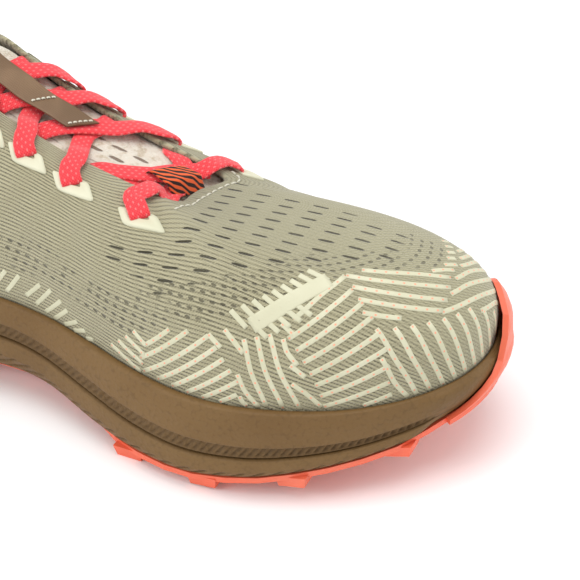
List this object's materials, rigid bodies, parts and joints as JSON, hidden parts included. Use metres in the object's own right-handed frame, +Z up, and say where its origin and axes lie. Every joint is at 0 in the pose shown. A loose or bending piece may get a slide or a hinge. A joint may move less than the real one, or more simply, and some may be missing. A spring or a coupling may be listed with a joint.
{
  "type": "trail running shoe",
  "caption": "Trail running shoe for the right foot, with a knitted upper, a laced throat, a padded collar, a thick foam midsole and a lugged rubber outsole.",
  "frame": {"origin": "on the floor, under the middle of the shoe's length and width", "axes": "+X towards the toe, +Y towards the inner side of the foot, +Z up"},
  "size_m": [0.2852, 0.1088, 0.1191],
  "materials": {
    "knit": "matt knit",
    "foam": "matt moulded foam",
    "rubber": "satin moulded rubber",
    "lace": "flat woven lace",
    "film": "smooth welded film",
    "tongue_knit": "matt knit",
    "footbed_cloth": "matt cloth on foam",
    "label_cloth": "woven strip",
    "webbing": "ribbed webbing"
  },
  "bodies": {
    "root": {"midsole": "foam", "outsole": "rubber", "upper": "knit", "insole": "footbed_cloth", "tongue": "tongue_knit", "tongue_label": "label_cloth", "lace_keeper": "webbing", "lace_cross_1": "lace", "lace_cross_2": "lace", "lace_cross_3": "lace", "lace_cross_4": "lace", "eyelet_patch_outer_1": "film", "eyelet_patch_outer_2": "film", "eyelet_patch_outer_3": "film", "eyelet_patch_outer_4": "film", "eyelet_patch_outer_5": "film", "eyelet_patch_inner_1": "film", "eyelet_patch_inner_2": "film", "eyelet_patch_inner_3": "film", "eyelet_patch_inner_4": "film", "eyelet_patch_inner_5": "film"}
  },
  "joints": []
}
